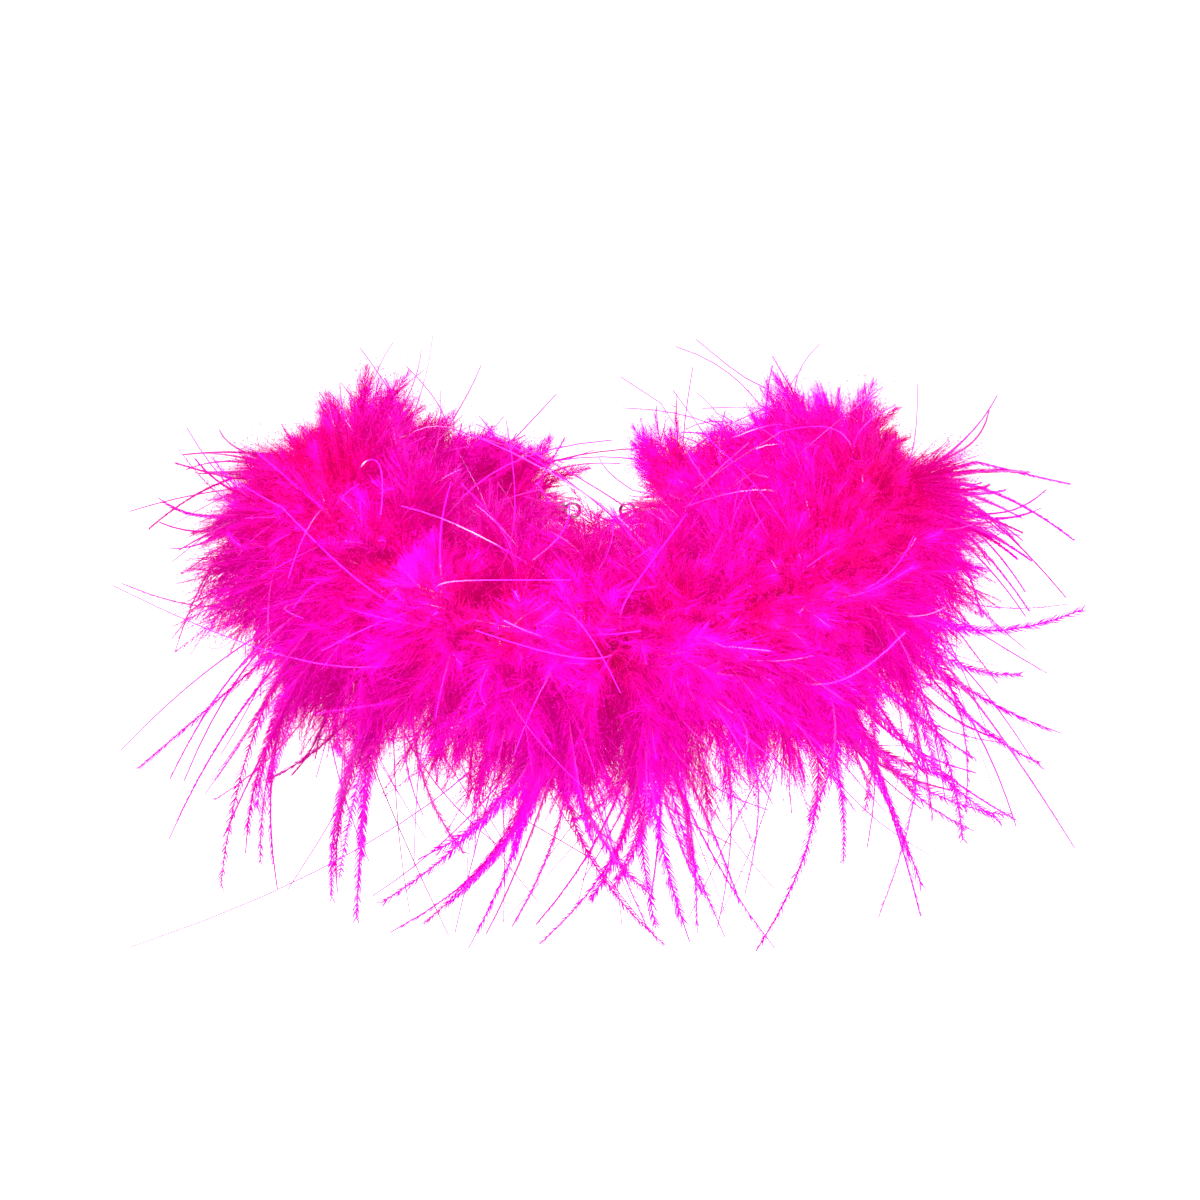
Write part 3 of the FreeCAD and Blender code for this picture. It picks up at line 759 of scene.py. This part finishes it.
def down_material():
    """Down dyed pink, darker and redder near the cord as painted shade, cooler at the tips, each
    plume a little different.
    """
    material, tree, shader = new_material("marabou_down")
    place, away = plume_place(tree)
    noise = noise_value(tree, place, PLUME_GRAIN, 2.0)
    tint = tree.nodes.new("ShaderNodeHueSaturation")
    # Painted shade: the ramp's first stop, darkest and reddest, colours the down near the cord where
    # it lies in shadow.
    colour = colour_ramp(tree, away, ((0.12, PINK_PAINTED_SHADE), (0.40, PINK_BODY), (0.85, PINK_TIP)))
    tree.links.new(colour, tint.inputs["Color"])
    tree.links.new(mapped(tree, noise, NOISE_RANGE, (0.76, 1.0)), tint.inputs["Value"])
    tree.links.new(mapped(tree, noise, NOISE_RANGE, (0.514, 0.488)), tint.inputs["Hue"])
    tree.links.new(tint.outputs["Color"], shader.inputs["Base Color"])
    shader.inputs["Roughness"].default_value = 0.62
    shader.inputs["Specular IOR Level"].default_value = 0.04
    # Painted glow: a faint pink emission lifts the down's shade, standing in for light scattered
    # through it.
    shader.inputs["Emission Color"].default_value = (1.0, 0.0, 0.45, 1.0)
    shader.inputs["Emission Strength"].default_value = 0.21
    return material


def shaft_material():
    """Smooth waxy shaft with a bright highlight and a faint painted glow."""
    material, tree, shader = new_material("quill_shaft")
    _, away = plume_place(tree)
    colour = colour_ramp(tree, away, ((0.0, PINK_SHAFT_ROOT), (1.0, PINK_SHAFT)))
    tree.links.new(colour, shader.inputs["Base Color"])
    shader.inputs["Roughness"].default_value = 0.24
    shader.inputs["Specular IOR Level"].default_value = 0.4
    # Painted glow: a faint pink emission lifts the shafts' shade.
    shader.inputs["Emission Color"].default_value = (1.0, 0.0, 0.5, 1.0)
    shader.inputs["Emission Strength"].default_value = 0.08
    return material


def surface_noise(tree, shader, scale, colours, roughness, bump):
    """Colour, roughness and fine relief of a plain surface, from noise in its own space."""
    place = tree.nodes.new("ShaderNodeTexCoord").outputs["Object"]
    noise = noise_value(tree, place, scale, 4.0)
    colour = colour_ramp(tree, noise, tuple(zip(NOISE_RANGE, colours)))
    tree.links.new(colour, shader.inputs["Base Color"])
    rough = mapped(tree, noise, (0.0, 1.0), roughness)
    tree.links.new(rough, shader.inputs["Roughness"])
    relief = tree.nodes.new("ShaderNodeBump")
    relief.inputs["Strength"].default_value = bump
    relief.inputs["Distance"].default_value = RELIEF
    tree.links.new(noise, relief.inputs["Height"])
    tree.links.new(relief.outputs["Normal"], shader.inputs["Normal"])


def metal_material(name, colours, roughness):
    material, tree, shader = new_material(name)
    shader.inputs["Metallic"].default_value = 1.0
    surface_noise(tree, shader, METAL_GRAIN, colours, roughness, 0.15)
    return material


def thread_material(name, colours, roughness):
    material, tree, shader = new_material(name)
    surface_noise(tree, shader, THREAD_GRAIN, colours, roughness, 0.5)
    shader.inputs["Specular IOR Level"].default_value = 0.2
    return material


# ---------------------------------------------------------------- cord, quills and binding


def cord_end(segment, spot):
    """Middle of the core cord's bare end, the end that is nearer to the segment's last tuft."""
    points = node_points("core_cord_" + segment)
    away = (points - spot["centre"]) @ spot["along"]
    if abs(away.max()) > abs(away.min()):
        away = -away
    return points[away > away.max() - CORD_END_DEPTH].mean(0)


def cord_line():
    """Points along the middle of the core cord, from the left end to the right end."""
    spots = [spot for segment in SEGMENTS for spot in tuft_frames(segment).values()]
    controls = [cord_end(SEGMENTS[0], spots[0])]
    controls += [spot["centre"] for spot in spots]
    controls.append(cord_end(SEGMENTS[-1], spots[-1]))
    curve = bpy.data.curves.new("cord_line", "CURVE")
    curve.dimensions = "3D"
    spline = curve.splines.new("NURBS")
    spline.points.add(len(controls) - 1)
    for point, place in zip(spline.points, controls):
        point.co = (*place, 1.0)
    spline.use_endpoint_u = True
    spline.order_u = 3
    spline.resolution_u = CORD_CURVE_STEPS
    holder = bpy.data.objects.new("cord_line", curve)
    bpy.context.scene.collection.objects.link(holder)
    bpy.context.view_layer.update()
    shaped = holder.evaluated_get(bpy.context.evaluated_depsgraph_get())
    mesh = bpy.data.meshes.new_from_object(shaped)
    line = np.array([vertex.co for vertex in mesh.vertices])
    bpy.data.objects.remove(holder)
    bpy.data.meshes.remove(mesh)
    return line


def line_axes(line):
    """Direction, level sideways and rise at each point of a line."""
    along = unit(np.gradient(line, axis=0))
    side = unit(np.cross(along, UP))
    return along, side, np.cross(side, along)


def helix(line, radius, pitch, phase):
    """A line wound round another at a radius, with one turn in each pitch."""
    _, side, rise = line_axes(line)
    steps = np.linalg.norm(np.diff(line, axis=0), axis=1)
    turn = 2.0 * math.pi * np.concatenate([[0.0], np.cumsum(steps)]) / pitch + phase
    offset = side * np.cos(turn)[:, None] + rise * np.sin(turn)[:, None]
    return line + radius * offset


def round_strand(strands, line, radius, sides):
    """One round closed strand along a line."""
    _, side, rise = line_axes(line)
    radii = np.full((1, len(line)), radius)
    rods(strands, line[None], radii, side[None], rise[None], np.zeros(1), sides)


def strand_object(name, strands, material):
    points, triangles, _ = strands.arrays()
    return mesh_object(name, points, triangles, None, [material])


def resampled(line, step):
    """The same line with its points a step apart."""
    lengths = np.concatenate([[0.0], np.cumsum(np.linalg.norm(np.diff(line, axis=0), axis=1))])
    count = max(3, int(lengths[-1] / step) + 1)
    at = np.linspace(0.0, lengths[-1], count)
    return np.stack([np.interp(at, lengths, line[:, i]) for i in range(3)], axis=1)


def build_cord(material):
    """Three-strand twisted cord, in spans that each run from the middle of one segment to the middle
    of the next.
    """
    line = resampled(cord_line(), CORD_STEP)
    middles = [tuft_frames(name)["plume_tuft_%s_2" % name]["centre"] for name in SEGMENTS]
    cuts = [0]
    cuts += [int(np.linalg.norm(line - middle, axis=1).argmin()) for middle in middles]
    cuts.append(len(line) - 1)
    wound = [
        helix(line, CORD_STRAND_OFFSET, CORD_LAY, 2.0 * math.pi * i / CORD_STRANDS)
        for i in range(CORD_STRANDS)
    ]
    for i in range(len(cuts) - 1):
        first, last = cuts[i], cuts[i + 1] + 1
        strands = Strands()
        for strand in wound:
            round_strand(strands, strand[first:last], CORD_STRAND_RADIUS, CORD_STRAND_SIDES)
        left = SEGMENTS[max(i - 1, 0)]
        right = SEGMENTS[min(i, len(SEGMENTS) - 1)]
        name = "cord_" + left if left == right else "cord_%s_%s" % (left, right)
        if left == right:
            name += "_end"
        made = strand_object(name, strands, material)
        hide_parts(*sorted({"core_cord_" + left, "core_cord_" + right}))
        if left == right:
            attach(made, left)
        else:
            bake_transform(made)


def build_quills(material):
    """The bunched quill ends of each tuft, laid round the cord and a little uneven."""
    for number, segment in enumerate(SEGMENTS):
        rng = np.random.default_rng(SEED + 200 + number)
        strands = Strands()
        for spot in tuft_frames(segment).values():
            n = QUILLS_PER_TUFT
            turn = (np.arange(n) + rng.uniform(-0.2, 0.2, n)) * 2.0 * math.pi / n
            layer = QUILL_LAYERS[0] + (QUILL_LAYERS[1] - QUILL_LAYERS[0]) * (np.arange(n) % 2)
            ring = spot["out"] * np.cos(turn)[:, None] + spot["rise"] * np.sin(turn)[:, None]
            half = QUILL_HALF_LENGTH * rng.uniform(0.85, 1.0, (n, 1, 1))
            place = np.linspace(-1.0, 1.0, QUILL_STATIONS)[None, :, None]
            spine = spot["centre"] + ring[:, None] * layer[:, None, None]
            spine = spine + spot["along"] * half * place
            spine = spine + ring[:, None] * QUILL_FLARE * place**2 * rng.uniform(0, 1, (n, 1, 1))
            radius = np.full((n, QUILL_STATIONS), QUILL_RADIUS) * rng.uniform(0.8, 1.1, (n, 1))
            along = np.broadcast_to(spot["along"], ring.shape)
            side = np.broadcast_to(ring[:, None], spine.shape)
            up = np.broadcast_to(np.cross(along, ring)[:, None], spine.shape)
            rods(strands, spine, radius, side, up, np.zeros(n), QUILL_SIDES)
        made = strand_object("quills_" + segment, strands, material)
        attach(made, segment)
        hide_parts("quill_bundles_" + segment)


def build_bindings(material):
    """Thread wound on the cord in a close coil between the tufts."""
    for segment in SEGMENTS:
        points = node_points("binding_thread_" + segment)
        strands = Strands()
        spots = list(tuft_frames(segment).values())
        for a, b in zip(spots, spots[1:]):
            middle = (a["centre"] + b["centre"]) / 2.0
            near = points[np.linalg.norm(points - middle, axis=1) < BAND_SEARCH]
            band = cord_frame(near)
            steps = np.linspace(-1.0, 1.0, BAND_STEPS)[:, None]
            core = band["centre"] + band["along"] * BAND_HALF_WIDTH * steps
            coil = helix(core, BAND_RADIUS, BAND_PITCH, 0.0)
            round_strand(strands, coil, THREAD_RADIUS, THREAD_SIDES)
        made = strand_object("binding_" + segment, strands, material)
        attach(made, segment)
        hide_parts("binding_thread_" + segment)


def dress_metal(silver, steel):
    """Better materials on the frame's own metal parts."""
    for name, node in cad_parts.items():
        if name.startswith(METAL_NODES):
            finish = steel if name in STEEL_NODES else silver
            for i in range(len(node.material_slots)):
                node.material_slots[i].material = finish


# ---------------------------------------------------------------- scene


def add_camera():
    """A camera in front, a little above level, as wide as FRAME_WIDTH at the boa."""
    data = bpy.data.cameras.new("camera")
    data.sensor_width = SENSOR
    data.lens = SENSOR * CAMERA_DISTANCE / FRAME_WIDTH
    camera = bpy.data.objects.new("camera", data)
    bpy.context.scene.collection.objects.link(camera)
    tilt = math.radians(CAMERA_ELEVATION)
    x, y, z = LOOK_AT
    camera.location = (
        x,
        y - CAMERA_DISTANCE * math.cos(tilt),
        z + CAMERA_DISTANCE * math.sin(tilt),
    )
    camera.rotation_euler = (math.pi / 2 - tilt, 0.0, 0.0)
    bpy.context.scene.camera = camera


def add_area(name, place, size, power):
    """A round soft light that faces the origin."""
    data = bpy.data.lights.new(name, "AREA")
    data.shape = "DISK"
    data.size = size
    data.energy = power
    light = bpy.data.objects.new(name, data)
    bpy.context.scene.collection.objects.link(light)
    light.location = place
    aim = -np.array(place)
    level = math.hypot(aim[0], aim[1])
    turn = math.atan2(aim[1], aim[0]) - math.pi / 2
    light.rotation_euler = (math.atan2(level, -aim[2]), 0.0, turn)


def add_studio():
    """A pale floor, a bright even sky and three large soft lights."""
    world = bpy.data.worlds.new("studio")
    bpy.context.scene.world = world
    world.use_nodes = True
    background = world.node_tree.nodes["Background"]
    background.inputs["Color"].default_value = (1.0, 1.0, 1.0, 1.0)
    background.inputs["Strength"].default_value = SKY_STRENGTH
    size = FLOOR_HALF_SIZE
    corners = [(-size, -size), (size, -size), (size, size), (-size, size)]
    mesh = bpy.data.meshes.new("floor")
    mesh.from_pydata([(x, y, FLOOR_Z) for x, y in corners], [], [(0, 1, 2, 3)])
    floor = bpy.data.objects.new("floor", mesh)
    bpy.context.scene.collection.objects.link(floor)
    material, _, shader = new_material("pale_floor")
    shader.inputs["Base Color"].default_value = (0.985, 0.985, 0.985, 1.0)
    shader.inputs["Roughness"].default_value = 0.9
    mesh.materials.append(material)
    for light in LIGHTS:
        add_area(*light)


def build_tufts(materials):
    """The down of every tuft, and the long plumes of the segments that have them."""
    number = 0
    for segment in SEGMENTS:
        spots = tuft_frames(segment)
        for node, spot in spots.items():
            number += 1
            rng = np.random.default_rng(SEED + number)
            plumes = tuft_plumes(rng, spot, END_LEANS.get(node, 0.0))
            tuft = feather_object(node.replace("plume_tuft", "down"), plumes, rng, spot, materials)
            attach(tuft, segment)
            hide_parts(node)
        node = "long_plumes_" + segment
        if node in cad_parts:
            rng = np.random.default_rng(SEED + 100 + number)
            spot = spots["plume_tuft_%s_2" % segment]
            plumes = long_plume_set(rng, node, spot)
            made = feather_object(node.replace("plumes", "down"), plumes, rng, spot, materials)
            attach(made, segment)
            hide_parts(node)


bpy.context.scene.view_settings.view_transform = "Standard"
add_camera()
add_studio()
build_tufts([shaft_material(), down_material()])
build_cord(thread_material("dyed_cord", CORD_PINK, (0.6, 0.85)))
build_quills(thread_material("dyed_quill", QUILL_PINK, (0.25, 0.45)))
build_bindings(thread_material("dyed_thread", THREAD_PINK, (0.5, 0.75)))
dress_metal(
    metal_material("silver_plate", SILVER, (0.12, 0.3)),
    metal_material("spring_steel", STEEL, (0.2, 0.4)),
)
